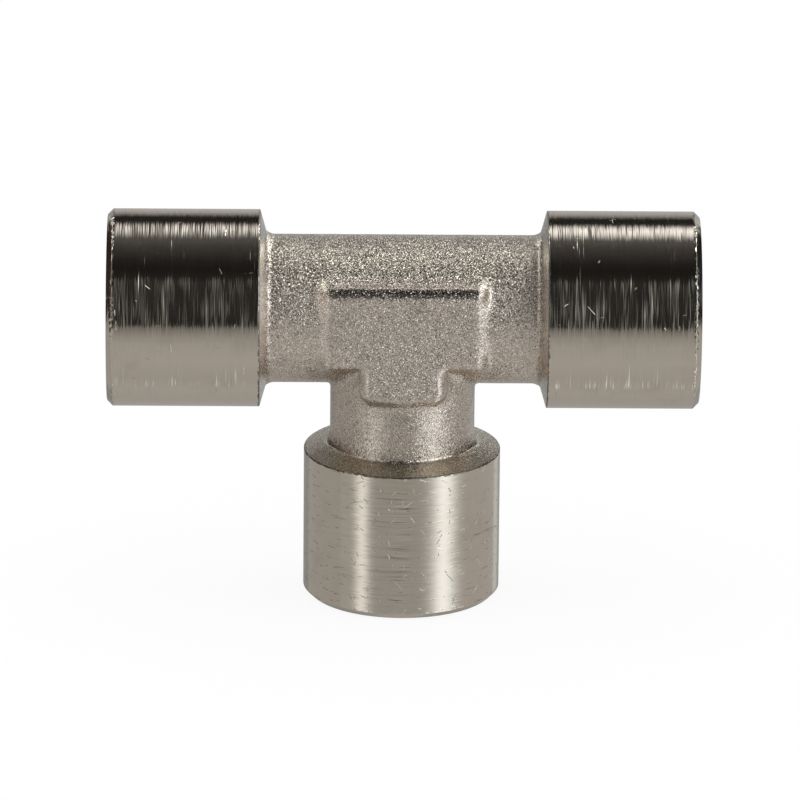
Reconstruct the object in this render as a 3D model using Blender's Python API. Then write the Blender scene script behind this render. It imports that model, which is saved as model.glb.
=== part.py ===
# Threaded tee fitting: one nickel-plated brass forging with three turned and bored ports.
# It stands on the rim of its branch port. The origin is the centre of that rim,
# Z points up along the branch and the run lies along X.
# Run it with blender --background --python part.py, or from the text editor.

import math

import bmesh
import bpy
from mathutils import Matrix, Vector

# All sizes are in metres.

# Where the ports lie, measured from the crossing of the two port axes
RUN_REACH = 0.02545
BRANCH_REACH = 0.02545

# Turned collars round the ports
COLLAR_DIAMETER = 0.0170
RUN_COLLAR_LENGTH = 0.0131
BRANCH_COLLAR_LENGTH = 0.0129
RIM_CHAMFER = 0.00048
RIM_CORNER_RADIUS = 0.0002
SHOULDER_LEAN_DEGREES = 16.0
SHOULDER_CORNER_RADIUS = 0.00025

# Forged necks between the collars
RUN_NECK_DIAMETER = 0.01278
BRANCH_NECK_DIAMETER = 0.01249
RUN_ROOT_RADIUS = 0.0006
BRANCH_ROOT_RADIUS = 0.0003
SADDLE_FILLET_RADIUS = 0.0005

# Raised T on the front and the back of the forging: its flat face, then the edge and the walls round it
PAD_RISE = 0.0003
PAD_BAR_LENGTH = 0.01255
PAD_BAR_WIDTH = 0.00595
PAD_STEM_WIDTH = 0.00575
PAD_STEM_REACH = 0.0062
PAD_STEM_END_RADIUS = 0.0140
PAD_EDGE_RADIUS = 0.00075
PAD_BAR_CORNER_RADIUS = 0.0002
PAD_STEM_CORNER_RADIUS = 0.0003
PAD_DRAFT_DEGREES = 15.0

# Bores: G 1/4 sockets at the thread's minor diameter, and the waterway that joins them
SOCKET_DIAMETER = 0.011445
SOCKET_DEPTH = 0.0120
SOCKET_MOUTH_DIAMETER = 0.0135
SOCKET_MOUTH_DEGREES = 45.0
DRILL_POINT_DEGREES = 118.0
RUN_WATERWAY_DIAMETER = 0.0086
BRANCH_WATERWAY_DIAMETER = 0.0084

# Finish
NICKEL_COLOUR = (0.62, 0.58, 0.53, 1.0)
NICKEL_ROUGHNESS = 0.32

# Fineness of the round forms
ROUND_SEGMENTS = 72
BORE_SEGMENTS = 60
ARC_STEPS = 3
EDGE_STEPS = 4
STEM_END_STEPS = 4
ROOT_STEPS = 5
SADDLE_STEPS = 16
SHARP_ANGLE_DEGREES = 30.0

# How far cutters pass the faces they cut, and how far joined forms sink into each other
CUT_CLEARANCE = 0.0006
JOIN_SINK = 0.00001

# Limits that keep fillets and hidden feet inside the forms that carry them
FILLET_SHARE_OF_SIDE = 0.45
ROOT_SHARE_OF_SHOULDER = 0.8
SADDLE_END_SHARE_OF_NECK = 0.9
PAD_FOOT_SHARE_OF_NECK = 0.5

# Values that follow from the sizes above
COLLAR_RADIUS = COLLAR_DIAMETER / 2
RUN_NECK_RADIUS = RUN_NECK_DIAMETER / 2
BRANCH_NECK_RADIUS = BRANCH_NECK_DIAMETER / 2
PAD_PLANE = max(RUN_NECK_RADIUS, BRANCH_NECK_RADIUS) + PAD_RISE
CROSSING = Vector((0.0, 0.0, BRANCH_REACH))

# Frames that lay a form turned about its own Z axis along the run or down the branch
ALONG_RUN = Matrix.Translation(CROSSING) @ Matrix.Rotation(math.radians(90), 4, "Y")
DOWN_BRANCH = Matrix.Translation(CROSSING) @ Matrix.Rotation(math.radians(180), 4, "Y")


def clear_scene():
    for scene_object in list(bpy.data.objects):
        bpy.data.objects.remove(scene_object, do_unlink=True)


def make_nickel():
    material = bpy.data.materials.new("nickel_plated_brass")
    material.use_nodes = True
    shader = material.node_tree.nodes["Principled BSDF"]
    shader.inputs["Base Color"].default_value = NICKEL_COLOUR
    shader.inputs["Metallic"].default_value = 1.0
    shader.inputs["Roughness"].default_value = NICKEL_ROUGHNESS
    material.diffuse_color = NICKEL_COLOUR
    return material


def arc(centre, radius, start_degrees, end_degrees, steps):
    """Points of an arc in a profile's plane, both ends included."""
    points = []
    for step in range(steps + 1):
        angle = math.radians(start_degrees + (end_degrees - start_degrees) * step / steps)
        points.append((centre[0] + radius * math.cos(angle), centre[1] + radius * math.sin(angle)))
    return points


def rounded_corner(before, corner, after, radius, steps):
    """Replace a profile's corner by an arc that touches both of its sides."""
    corner_point = Vector(corner)
    to_before = Vector(before) - corner_point
    to_after = Vector(after) - corner_point
    half_angle = to_before.angle(to_after) / 2
    room = FILLET_SHARE_OF_SIDE * min(to_before.length, to_after.length)
    reach = min(radius / math.tan(half_angle), room)
    inward = (to_before.normalized() + to_after.normalized()).normalized()
    centre = corner_point + inward * (reach / math.cos(half_angle))
    to_start = (corner_point + to_before.normalized() * reach - centre).normalized()
    to_end = (corner_point + to_after.normalized() * reach - centre).normalized()
    fitted_radius = reach * math.tan(half_angle)
    points = []
    for step in range(steps + 1):
        points.append(tuple(centre + fitted_radius * to_start.slerp(to_end, step / steps)))
    return points


def mesh_object(name, shape):
    """Turn a finished bmesh into an object, with its faces pointing out."""
    bmesh.ops.recalc_face_normals(shape, faces=shape.faces)
    mesh = bpy.data.meshes.new(name)
    shape.to_mesh(mesh)
    shape.free()
    made = bpy.data.objects.new(name, mesh)
    bpy.context.scene.collection.objects.link(made)
    return made


def turned_solid(name, profile, segments, frame):
    """Turn a profile of (radius, height) points about Z, close both ends and place it."""
    shape = bmesh.new()
    vertices = [shape.verts.new((radius, 0.0, height)) for radius, height in profile]
    edges = [shape.edges.new(pair) for pair in zip(vertices[:-1], vertices[1:])]
    bmesh.ops.spin(
        shape,
        geom=vertices + edges,
        cent=(0, 0, 0),
        axis=(0, 0, 1),
        angle=2 * math.pi,
        steps=segments,
        use_merge=True,
    )
    bmesh.ops.holes_fill(shape, edges=[edge for edge in shape.edges if edge.is_boundary])
    bmesh.ops.transform(shape, matrix=frame, verts=shape.verts)
    return mesh_object(name, shape)


def loft_solid(name, loops, frame):
    """Join equal loops of points in order and close the first and the last with a face."""
    shape = bmesh.new()
    rows = [[shape.verts.new(point) for point in loop] for loop in loops]
    for lower, upper in zip(rows[:-1], rows[1:]):
        for index in range(len(lower)):
            following = (index + 1) % len(lower)
            shape.faces.new((lower[index], lower[following], upper[following], upper[index]))
    shape.faces.new(rows[0])
    shape.faces.new(rows[-1])
    bmesh.ops.transform(shape, matrix=frame, verts=shape.verts)
    return mesh_object(name, shape)


def port_profile(reach, collar_length, neck_radius, wanted_root_radius):
    """Half of a port's outline, as (radius, height) from the crossing out to the rim."""
    wall_turn = math.radians(90.0 - SHOULDER_LEAN_DEGREES)
    collar_start = (COLLAR_RADIUS, reach - collar_length)
    root_room = ROOT_SHARE_OF_SHOULDER * (COLLAR_RADIUS - neck_radius)
    root_radius = min(wanted_root_radius, root_room / (1 - math.cos(wall_turn)))
    root_top_radius = neck_radius + root_radius * (1 - math.cos(wall_turn))
    root_top_height = collar_start[1] - (COLLAR_RADIUS - root_top_radius) / math.tan(wall_turn)
    root_centre = (neck_radius + root_radius, root_top_height - root_radius * math.sin(wall_turn))
    root = arc(root_centre, root_radius, 180.0, 90.0 + SHOULDER_LEAN_DEGREES, ROOT_STEPS)
    chamfer_start = (COLLAR_RADIUS, reach - RIM_CHAMFER)
    rim_edge = (COLLAR_RADIUS - RIM_CHAMFER, reach)
    shoulder = rounded_corner(root[-1], collar_start, chamfer_start, SHOULDER_CORNER_RADIUS, ARC_STEPS)
    rim = rounded_corner(shoulder[-1], chamfer_start, rim_edge, RIM_CORNER_RADIUS, ARC_STEPS)
    return [(neck_radius, 0.0)] + root + shoulder + rim + [rim_edge]


def make_run():
    half = port_profile(RUN_REACH, RUN_COLLAR_LENGTH, RUN_NECK_RADIUS, RUN_ROOT_RADIUS)
    mirrored = [(radius, -height) for radius, height in reversed(half[1:])]
    return turned_solid("run", mirrored + half[1:], ROUND_SEGMENTS, ALONG_RUN)


def make_branch():
    profile = port_profile(BRANCH_REACH, BRANCH_COLLAR_LENGTH, BRANCH_NECK_RADIUS, BRANCH_ROOT_RADIUS)
    return turned_solid("branch", profile, ROUND_SEGMENTS, DOWN_BRANCH)


def make_saddle_fillet(side):
    """Fillet left by a ball that rolls along the corner of the two necks, on one side."""
    ball = SADDLE_FILLET_RADIUS
    run_radius = RUN_NECK_RADIUS - JOIN_SINK
    branch_radius = BRANCH_NECK_RADIUS - JOIN_SINK
    under_pad = max(PAD_STEM_WIDTH / 2 - ball, 0.0)
    last_angle = math.acos(min(under_pad / (branch_radius + ball), SADDLE_END_SHARE_OF_NECK))
    loops = []
    for step in range(SADDLE_STEPS + 1):
        angle = last_angle * (2 * step / SADDLE_STEPS - 1)
        across = (branch_radius + ball) * math.cos(angle) * side
        depth = (branch_radius + ball) * math.sin(angle)
        drop = math.sqrt(max((run_radius + ball) ** 2 - depth**2, 0.0))
        centre = Vector((across, depth, -drop))
        to_run = Vector((0.0, -depth, drop)) / (run_radius + ball)
        to_branch = Vector((-across, -depth, 0.0)) / (branch_radius + ball)
        loop = []
        for part in range(ROOT_STEPS + 1):
            loop.append(centre + ball * to_run.slerp(to_branch, part / ROOT_STEPS))
        loop.append(centre + 2 * ball * to_branch)
        loop.append(centre + 2 * ball * to_run)
        loops.append(loop)
    return loft_solid("saddle_fillet", loops, Matrix.Translation(CROSSING))


def stem_end(half_width, grow):
    """The stem's slightly bowed end with its rounded corners, from the left side to the right."""
    end_radius = max(PAD_STEM_END_RADIUS, PAD_STEM_WIDTH / 2) + grow
    corner_radius = PAD_STEM_CORNER_RADIUS + grow
    centre_height = end_radius - grow - PAD_STEM_REACH
    across = half_width - corner_radius
    down = math.sqrt((end_radius - corner_radius) ** 2 - across**2)
    turn = math.degrees(math.atan2(down, across))
    corner_height = centre_height - down
    left = arc((-across, corner_height), corner_radius, 180.0, 180.0 + turn, ARC_STEPS)
    middle = arc((0.0, centre_height), end_radius, 180.0 + turn, 360.0 - turn, STEM_END_STEPS)
    right = arc((across, corner_height), corner_radius, 360.0 - turn, 360.0, ARC_STEPS)
    return left + middle[1:-1] + right


def pad_outline(grow):
    """The T's outline in its own plane, X along the bar and Y up, grown by an offset."""
    bar_half_width = PAD_BAR_WIDTH / 2 + grow
    stem_half_width = PAD_STEM_WIDTH / 2 + grow
    radius = PAD_BAR_CORNER_RADIUS + grow
    out = PAD_BAR_LENGTH / 2 + grow - radius
    up = bar_half_width - radius
    outline = arc((out, up), radius, 0.0, 90.0, ARC_STEPS)
    outline += arc((-out, up), radius, 90.0, 180.0, ARC_STEPS)
    outline += arc((-out, -up), radius, 180.0, 270.0, ARC_STEPS)
    outline.append((-stem_half_width, -bar_half_width))
    outline += stem_end(stem_half_width, grow)
    outline.append((stem_half_width, -bar_half_width))
    outline += arc((out, -up), radius, 270.0, 360.0, ARC_STEPS)
    return outline


def make_pad(side):
    """One raised T: a flat face with a rounded edge and drafted walls that run into the necks."""
    draft = math.radians(PAD_DRAFT_DEGREES)
    levels = []
    for step in range(EDGE_STEPS + 1):
        turn = (math.pi / 2 - draft) * step / EDGE_STEPS
        levels.append((PAD_EDGE_RADIUS * math.sin(turn), PAD_EDGE_RADIUS * (1 - math.cos(turn))))
    grow, depth = levels[-1]
    widest_half = max(PAD_BAR_WIDTH, PAD_STEM_WIDTH) / 2
    thinnest_neck = min(RUN_NECK_RADIUS, BRANCH_NECK_RADIUS)
    foot_plane = PAD_FOOT_SHARE_OF_NECK * math.sqrt(max(thinnest_neck**2 - widest_half**2, 0.0))
    wall_depth = PAD_PLANE - depth - foot_plane
    levels.append((grow + wall_depth * math.tan(draft), depth + wall_depth))
    loops = []
    for grow, depth in levels:
        loops.append([Vector((x, side * (PAD_PLANE - depth), z)) for x, z in pad_outline(grow)])
    return loft_solid("raised_t", loops, Matrix.Translation(CROSSING))


def bore_profile(reach, waterway_radius):
    """Half of a bore, as (radius, height): waterway, drill point, socket and flared mouth."""
    socket_radius = SOCKET_DIAMETER / 2
    mouth_radius = SOCKET_MOUTH_DIAMETER / 2
    flare = math.tan(math.radians(SOCKET_MOUTH_DEGREES))
    mouth_depth = (mouth_radius - socket_radius) / flare
    point_length = (socket_radius - waterway_radius) / math.tan(math.radians(DRILL_POINT_DEGREES / 2))
    socket_floor = reach - SOCKET_DEPTH
    return [
        (waterway_radius, 0.0),
        (waterway_radius, socket_floor - point_length),
        (socket_radius, socket_floor),
        (socket_radius, reach - mouth_depth),
        (mouth_radius + CUT_CLEARANCE * flare, reach + CUT_CLEARANCE),
    ]


def make_run_bore():
    half = bore_profile(RUN_REACH, RUN_WATERWAY_DIAMETER / 2)
    mirrored = [(radius, -height) for radius, height in reversed(half[1:])]
    return turned_solid("run_bore", mirrored + half[1:], BORE_SEGMENTS, ALONG_RUN)


def make_branch_bore():
    profile = bore_profile(BRANCH_REACH, BRANCH_WATERWAY_DIAMETER / 2)
    return turned_solid("branch_bore", profile, BORE_SEGMENTS, DOWN_BRANCH)


def combine(target, operation, tool):
    """Join a tool to the target or cut it away, then drop the tool."""
    modifier = target.modifiers.new(operation.lower(), "BOOLEAN")
    modifier.operation = operation
    modifier.solver = "EXACT"
    modifier.object = tool
    depsgraph = bpy.context.evaluated_depsgraph_get()
    result = bpy.data.meshes.new_from_object(target.evaluated_get(depsgraph))
    target.modifiers.remove(modifier)
    target.data = result
    bpy.data.objects.remove(tool, do_unlink=True)


def make_tee_body(material):
    body = make_run()
    combine(body, "UNION", make_branch())
    for side in (-1, 1):
        combine(body, "UNION", make_saddle_fillet(side))
    for side in (-1, 1):
        combine(body, "UNION", make_pad(side))
    combine(body, "DIFFERENCE", make_run_bore())
    combine(body, "DIFFERENCE", make_branch_bore())
    body.name = "tee_body"
    body.data.name = "tee_body"
    body.data.materials.clear()
    body.data.materials.append(material)
    body.data.shade_smooth()
    body.data.set_sharp_from_angle(angle=math.radians(SHARP_ANGLE_DEGREES))
    return body


clear_scene()
make_tee_body(make_nickel())
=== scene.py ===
# Looks of the threaded tee fitting: a nickel-plated brass forging with turned collars,
# a shot-blasted middle with a raised T on both sides, and three tapped ports.

import math
from functools import reduce

import bmesh
import bpy
from mathutils import Matrix, Vector


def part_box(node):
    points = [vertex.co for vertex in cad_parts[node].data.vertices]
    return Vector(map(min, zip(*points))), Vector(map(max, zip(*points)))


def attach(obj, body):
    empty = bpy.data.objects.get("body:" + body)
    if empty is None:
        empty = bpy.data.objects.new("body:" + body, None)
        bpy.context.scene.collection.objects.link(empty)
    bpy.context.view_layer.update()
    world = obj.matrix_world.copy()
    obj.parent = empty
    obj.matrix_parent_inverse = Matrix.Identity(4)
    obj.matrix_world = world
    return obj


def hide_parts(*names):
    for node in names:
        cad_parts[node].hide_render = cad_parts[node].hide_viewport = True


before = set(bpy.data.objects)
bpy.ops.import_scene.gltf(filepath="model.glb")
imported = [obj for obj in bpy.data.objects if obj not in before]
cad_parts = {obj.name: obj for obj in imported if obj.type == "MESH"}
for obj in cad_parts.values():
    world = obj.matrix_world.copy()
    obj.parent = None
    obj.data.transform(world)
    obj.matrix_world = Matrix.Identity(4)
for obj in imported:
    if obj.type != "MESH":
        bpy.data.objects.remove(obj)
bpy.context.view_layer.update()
print("stage: frame loaded")

mm = 0.001

# Main measures, read from the solid
low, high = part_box("tee_body")
tee = {
    "reach": high.x,  # crossing of the port axes to each face
    "collarRadius": high.y,
    "crossing": high.z - high.y,  # height of the run's axis
}
crossing = Vector((0, 0, tee["crossing"]))

# Frames of the three ports: Z points out of the port, and the origin is the crossing
portFrames = {
    "right": Matrix.Translation(crossing) @ Matrix.Rotation(math.radians(90), 4, "Y"),
    "left": Matrix.Translation(crossing) @ Matrix.Rotation(math.radians(-90), 4, "Y"),
    "branch": Matrix.Translation(crossing) @ Matrix.Rotation(math.radians(180), 4, "Y"),
}


def addObject(name, data):
    added = bpy.data.objects.new(name, data)
    bpy.context.scene.collection.objects.link(added)
    return added


# Node helpers


def feed(tree, socket, value):
    # Colours are given without their alpha
    if isinstance(value, bpy.types.NodeSocket):
        tree.links.new(value, socket)
    else:
        socket.default_value = (*value, 1) if socket.type == "RGBA" else value


def addNode(tree, kind, inputs=None, **settings):
    node = tree.nodes.new(kind)
    for name, value in settings.items():
        setattr(node, name, value)
    for key, value in (inputs or {}).items():
        feed(tree, node.inputs[key], value)
    return node


def calc(tree, operation, *values):
    return addNode(tree, "ShaderNodeMath", dict(enumerate(values)), operation=operation).outputs[0]


def plus(tree, *values):
    return reduce(lambda result, value: calc(tree, "ADD", result, value), values)


def times(tree, *values):
    return reduce(lambda result, value: calc(tree, "MULTIPLY", result, value), values)


def minus(tree, value, taken):
    return calc(tree, "SUBTRACT", value, taken)


def over(tree, value, divisor):
    return calc(tree, "DIVIDE", value, divisor)


def diagonal(tree, a, b):
    return calc(tree, "SQRT", plus(tree, times(tree, a, a), times(tree, b, b)))


def vectorCalc(tree, operation, *values):
    node = addNode(tree, "ShaderNodeVectorMath", dict(enumerate(values)), operation=operation)
    return node.outputs["Value" if operation in ("LENGTH", "DOT_PRODUCT") else "Vector"]


def vectorPlus(tree, *values):
    return reduce(lambda result, value: vectorCalc(tree, "ADD", result, value), values)


def scaled(tree, vector, factor):
    inputs = {0: vector, "Scale": factor}
    return addNode(tree, "ShaderNodeVectorMath", inputs, operation="SCALE").outputs["Vector"]


def parts(tree, vector):
    return addNode(tree, "ShaderNodeSeparateXYZ", {"Vector": vector}).outputs


def joined(tree, values):
    return addNode(tree, "ShaderNodeCombineXYZ", values).outputs[0]


def ramp(tree, value, start, end, low=0.0, high=1.0):
    # Smooth step of a value between two limits
    inputs = {"Value": value, "From Min": start, "From Max": end, "To Min": low, "To Max": high}
    return addNode(tree, "ShaderNodeMapRange", inputs, interpolation_type="SMOOTHSTEP").outputs[0]


def noiseAt(tree, vector, scale, detail=0.0, roughness=0.5):
    # Noise round nought, mostly within a quarter either way
    inputs = {"Vector": vector, "Scale": scale, "Detail": detail, "Roughness": roughness}
    return minus(tree, addNode(tree, "ShaderNodeTexNoise", inputs).outputs["Fac"], 0.5)


def addSocket(tree, name, kind, default=None, direction="INPUT"):
    socket = tree.interface.new_socket(name=name, in_out=direction, socket_type=kind)
    if default is not None:
        socket.default_value = default


# Meshes grown by node trees

# How finely the parts are meshed, and how they are joined
meshing = {
    "segments": 128,
    "neckStep": 0.2 * mm,
    "wallStep": 0.4 * mm,
    "landStep": 1.2 * mm,
    "rootSteps": 12,
    "cornerSteps": 5,
    "flatGap": 0.05 * mm,  # from a rounded corner to the ring that keeps the flat beside it flat
    "neckGap": 0.1 * mm,  # from the cut forging to the first ring of the turned neck
    "ringReach": 0.2 * mm,  # how near to its cut an open edge lies
    "capReach": 0.01 * mm,
    "capFacing": 0.9,
    "seam": 0.001 * mm,
    "weld": 0.002 * mm,
    "sliver": 0.0005 * mm,
    "sharpAngle": math.radians(35),
}


def newGeometryTree(name, inputs):
    tree = bpy.data.node_groups.new(name, "GeometryNodeTree")
    addSocket(tree, "Geometry", "NodeSocketGeometry")
    for socketName, value in inputs.items():
        kind = "NodeSocketInt" if isinstance(value, int) else "NodeSocketFloat"
        addSocket(tree, socketName, kind, value)
    addSocket(tree, "Finish", "NodeSocketMaterial")
    addSocket(tree, "Geometry", "NodeSocketGeometry", direction="OUTPUT")
    return tree, tree.nodes.new("NodeGroupInput").outputs


def closeGeometryTree(tree, geometry, finish):
    real = addNode(tree, "GeometryNodeRealizeInstances", {"Geometry": geometry})
    inputs = {"Geometry": real.outputs[0], "Material": finish}
    painted = addNode(tree, "GeometryNodeSetMaterial", inputs)
    addNode(tree, "NodeGroupOutput", {"Geometry": painted.outputs[0]})


def evaluated(holder):
    graph = bpy.context.evaluated_depsgraph_get()
    return bpy.data.meshes.new_from_object(holder.evaluated_get(graph), depsgraph=graph)


def growMesh(tree, values, outline=()):
    # Runs a tree once over an outline of (radius, height) points and keeps the result as a plain mesh
    base = bpy.data.meshes.new(tree.name)
    points = [(radius, 0, height) for radius, height in outline]
    base.from_pydata(points, [(i, i + 1) for i in range(len(points) - 1)], [])
    holder = addObject(tree.name, base)
    modifier = holder.modifiers.new(tree.name, "NODES")
    modifier.node_group = tree
    for item in tree.interface.items_tree:
        if item.in_out == "INPUT" and item.name in values:
            modifier[item.identifier] = values[item.name]
    mesh = evaluated(holder)
    holder.modifiers.remove(modifier)
    bpy.data.objects.remove(holder, do_unlink=True)
    return mesh


def ringGrid(tree, rows, segments):
    # A grid with a row for each ring, and the row and column of each of its points
    columns = plus(tree, segments, 1)
    grid = addNode(tree, "GeometryNodeMeshGrid", {"Vertices X": rows, "Vertices Y": columns})
    index = addNode(tree, "GeometryNodeInputIndex").outputs[0]
    row = calc(tree, "FLOOR", over(tree, plus(tree, index, 0.5), columns))
    column = minus(tree, index, times(tree, row, columns))
    return grid.outputs["Mesh"], row, column


def closeRings(tree, grid, radius, angle, height, finish):
    # Sets the grid's points on their rings round Z, and joins its first column to its last
    places = {
        "X": times(tree, radius, calc(tree, "COSINE", angle)),
        "Y": times(tree, radius, calc(tree, "SINE", angle)),
        "Z": height,
    }
    inputs = {"Geometry": grid, "Position": joined(tree, places)}
    moved = addNode(tree, "GeometryNodeSetPosition", inputs)
    inputs = {"Geometry": moved.outputs[0], "Distance": meshing["seam"]}
    merged = addNode(tree, "GeometryNodeMergeByDistance", inputs)
    closeGeometryTree(tree, merged.outputs[0], finish)


collar = {
    "lengths": (13.1 * mm, 12.9 * mm),  # run and branch
    "roots": (0.6 * mm, 0.3 * mm),
    "shoulderLean": math.radians(16),
    "shoulderCorner": 0.12 * mm,
    "chamfer": 0.48 * mm,
    "rimCorner": 0.08 * mm,
    "flareSlope": 0.5,  # swelling of the neck at the parting plane, behind the shoulder
    "flareReach": 1.45 * mm,
    "flareBlend": 0.15 * mm,
    "flareSides": (0.62, 0.12),  # where it starts and is full, as sines of the angle from that plane
}


def makeTurnedTree():
    # Turns an outline round Z, and swells it beside the forging's parting plane
    inputs = {"Segments": meshing["segments"]}
    for name in ("Flare Radius", "Flare Start", "Flare Slope", "Flare Blend"):
        inputs[name] = 0.0
    tree, given = newGeometryTree("turned_outline", inputs)
    counts = addNode(tree, "GeometryNodeAttributeDomainSize", {"Geometry": given["Geometry"]}).outputs
    grid, row, column = ringGrid(tree, counts["Point Count"], given["Segments"])
    position = addNode(tree, "GeometryNodeInputPosition").outputs[0]
    inputs = {"Geometry": given["Geometry"], "Index": row, "Value": position}
    point = addNode(tree, "GeometryNodeSampleIndex", inputs, data_type="FLOAT_VECTOR")
    outline = parts(tree, point.outputs["Value"])
    angle = over(tree, times(tree, column, math.tau), given["Segments"])
    beside = ramp(tree, calc(tree, "ABSOLUTE", calc(tree, "SINE", angle)), *collar["flareSides"])
    above = calc(tree, "MAXIMUM", minus(tree, outline["Z"], given["Flare Start"]), 0)
    flared = plus(tree, given["Flare Radius"], times(tree, beside, given["Flare Slope"], above))
    radius = calc(tree, "SMOOTH_MAX", outline["X"], flared, given["Flare Blend"])
    closeRings(tree, grid, radius, angle, outline["Z"], given["Finish"])
    return tree


# The G 1/4 thread of all three ports
thread = {
    "Minor Radius": 11.445 * mm / 2,
    "Major Radius": 13.157 * mm / 2,
    "Pitch": 1.337 * mm,
    "Flank Slope": 1 / math.tan(math.radians(27.5)),
    "Rounding": 0.16 * mm,
    "Lead Slope": 0.45,  # how fast the thread deepens at its inner end
    "Mouth Radius": 6.75 * mm,
    "Steps per Turn": 10,
}


def makeThreadTree():
    # Cuts a right-hand thread round Z, with a tapping lead inside and a flared mouth outside
    inputs = {"Segments": meshing["segments"], "Inner End": 0.0, "Mouth": 0.0, **thread}
    tree, given = newGeometryTree("tapped_port", inputs)
    inner, mouth, pitch = given["Inner End"], given["Mouth"], given["Pitch"]
    minor, major, rounding = given["Minor Radius"], given["Major Radius"], given["Rounding"]
    turns = plus(tree, calc(tree, "CEIL", over(tree, minus(tree, mouth, inner), pitch)), 1)
    rows = plus(tree, times(tree, turns, given["Steps per Turn"]), 1)
    grid, row, column = ringGrid(tree, rows, given["Segments"])
    turn = over(tree, column, given["Segments"])

    # Rows climb one pitch in a turn, so that each runs along the helix, and stop at both ends
    climb = plus(tree, over(tree, row, given["Steps per Turn"]), turn, -1.0)
    height = plus(tree, inner, times(tree, climb, pitch))
    height = calc(tree, "MAXIMUM", calc(tree, "MINIMUM", height, mouth), inner)
    depth = minus(tree, height, inner)
    phase = minus(tree, over(tree, depth, pitch), turn)
    half = over(tree, pitch, 2)
    away = calc(tree, "PINGPONG", times(tree, phase, pitch), half)
    slope = times(tree, minus(tree, away, over(tree, half, 2)), given["Flank Slope"])
    radius = plus(tree, over(tree, plus(tree, minor, major), 2), slope)
    radius = calc(tree, "SMOOTH_MIN", radius, major, rounding)
    radius = calc(tree, "SMOOTH_MAX", radius, minor, rounding)
    lead = plus(tree, minor, times(tree, depth, given["Lead Slope"]))
    radius = calc(tree, "MAXIMUM", calc(tree, "MINIMUM", radius, lead), minor)
    flare = minus(tree, given["Mouth Radius"], minus(tree, mouth, height))
    radius = calc(tree, "MAXIMUM", radius, flare)
    closeRings(tree, grid, radius, times(tree, turn, math.tau), height, given["Finish"])
    return tree


def roundJoin(tree, a, b, radius):
    # Union of two distances with a fillet
    reaches = [calc(tree, "MAXIMUM", minus(tree, radius, value), 0) for value in (a, b)]
    outer = calc(tree, "MAXIMUM", radius, calc(tree, "MINIMUM", a, b))
    return minus(tree, outer, diagonal(tree, *reaches))


def roundCorner(tree, a, b, radius):
    # Overlap of two distances with a rounded edge, which is the union of what lies outside them
    outside = [times(tree, value, -1) for value in (a, b)]
    return times(tree, roundJoin(tree, *outside, radius), -1)


def roundedBox(tree, a, b, halfA, halfB, radius):
    # Distance to a rectangle with rounded corners, round the origin
    overA = plus(tree, minus(tree, calc(tree, "ABSOLUTE", a), halfA), radius)
    overB = plus(tree, minus(tree, calc(tree, "ABSOLUTE", b), halfB), radius)
    outside = diagonal(tree, calc(tree, "MAXIMUM", overA, 0), calc(tree, "MAXIMUM", overB, 0))
    inside = calc(tree, "MINIMUM", calc(tree, "MAXIMUM", overA, overB), 0)
    return minus(tree, plus(tree, outside, inside), radius)


forging = {
    "Run Neck": 6.39 * mm,
    "Branch Neck": 6.245 * mm,
    "Saddle Fillet": 0.55 * mm,
    "Pad Plane": 6.69 * mm,  # front of the raised T, from the axes
    "Pad Half Length": 6.85 * mm,
    "Pad Half Width": 3.55 * mm,
    "Pad Corner": 0.5 * mm,
    "Pad Edge": 0.75 * mm,
    "Pad Draft": math.radians(15),
    "Stem Half Width": 3.45 * mm,
    "Stem Reach": 6.8 * mm,
    "Stem End Radius": 14.0 * mm,
    "Stem Corner": 0.7 * mm,
    "Stem Foot": 0.36 * mm,  # fillet at the foot of the stem, and of the bar's ends
    "Pad Foot": 0.6 * mm,
    "Foot Change Start": 5.0 * mm,  # where the one goes over into the other, from the middle
    "Foot Change End": 6.0 * mm,
    "Run Cut": 9.6 * mm,  # where the turned necks take over
    "Branch Cut": 9.2 * mm,
    "Voxel": 0.165 * mm,
    "Margin": 0.6 * mm,
    "Unevenness": 0.03 * mm,
    "Lumps per m": 700.0,
    "Lump Fade": 1.5 * mm,
}

# Where the finish is smoother on the T's edge, as the two ends of each fade
edgeBand = {
    "topHeights": (2.2 * mm, 2.8 * mm),
    "topSides": (6.8 * mm, 6.2 * mm),
    "stemSides": (6.2 * mm, 5.2 * mm),
    "stemShares": (0.35, 0.9),  # at the bar's ends and beside the stem
    "inside": (0.95, 0.5),  # shares of the edge's radius
    "outside": (0.4 * mm, 0.12 * mm),  # width on the wall, elsewhere and at the top
}


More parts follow.
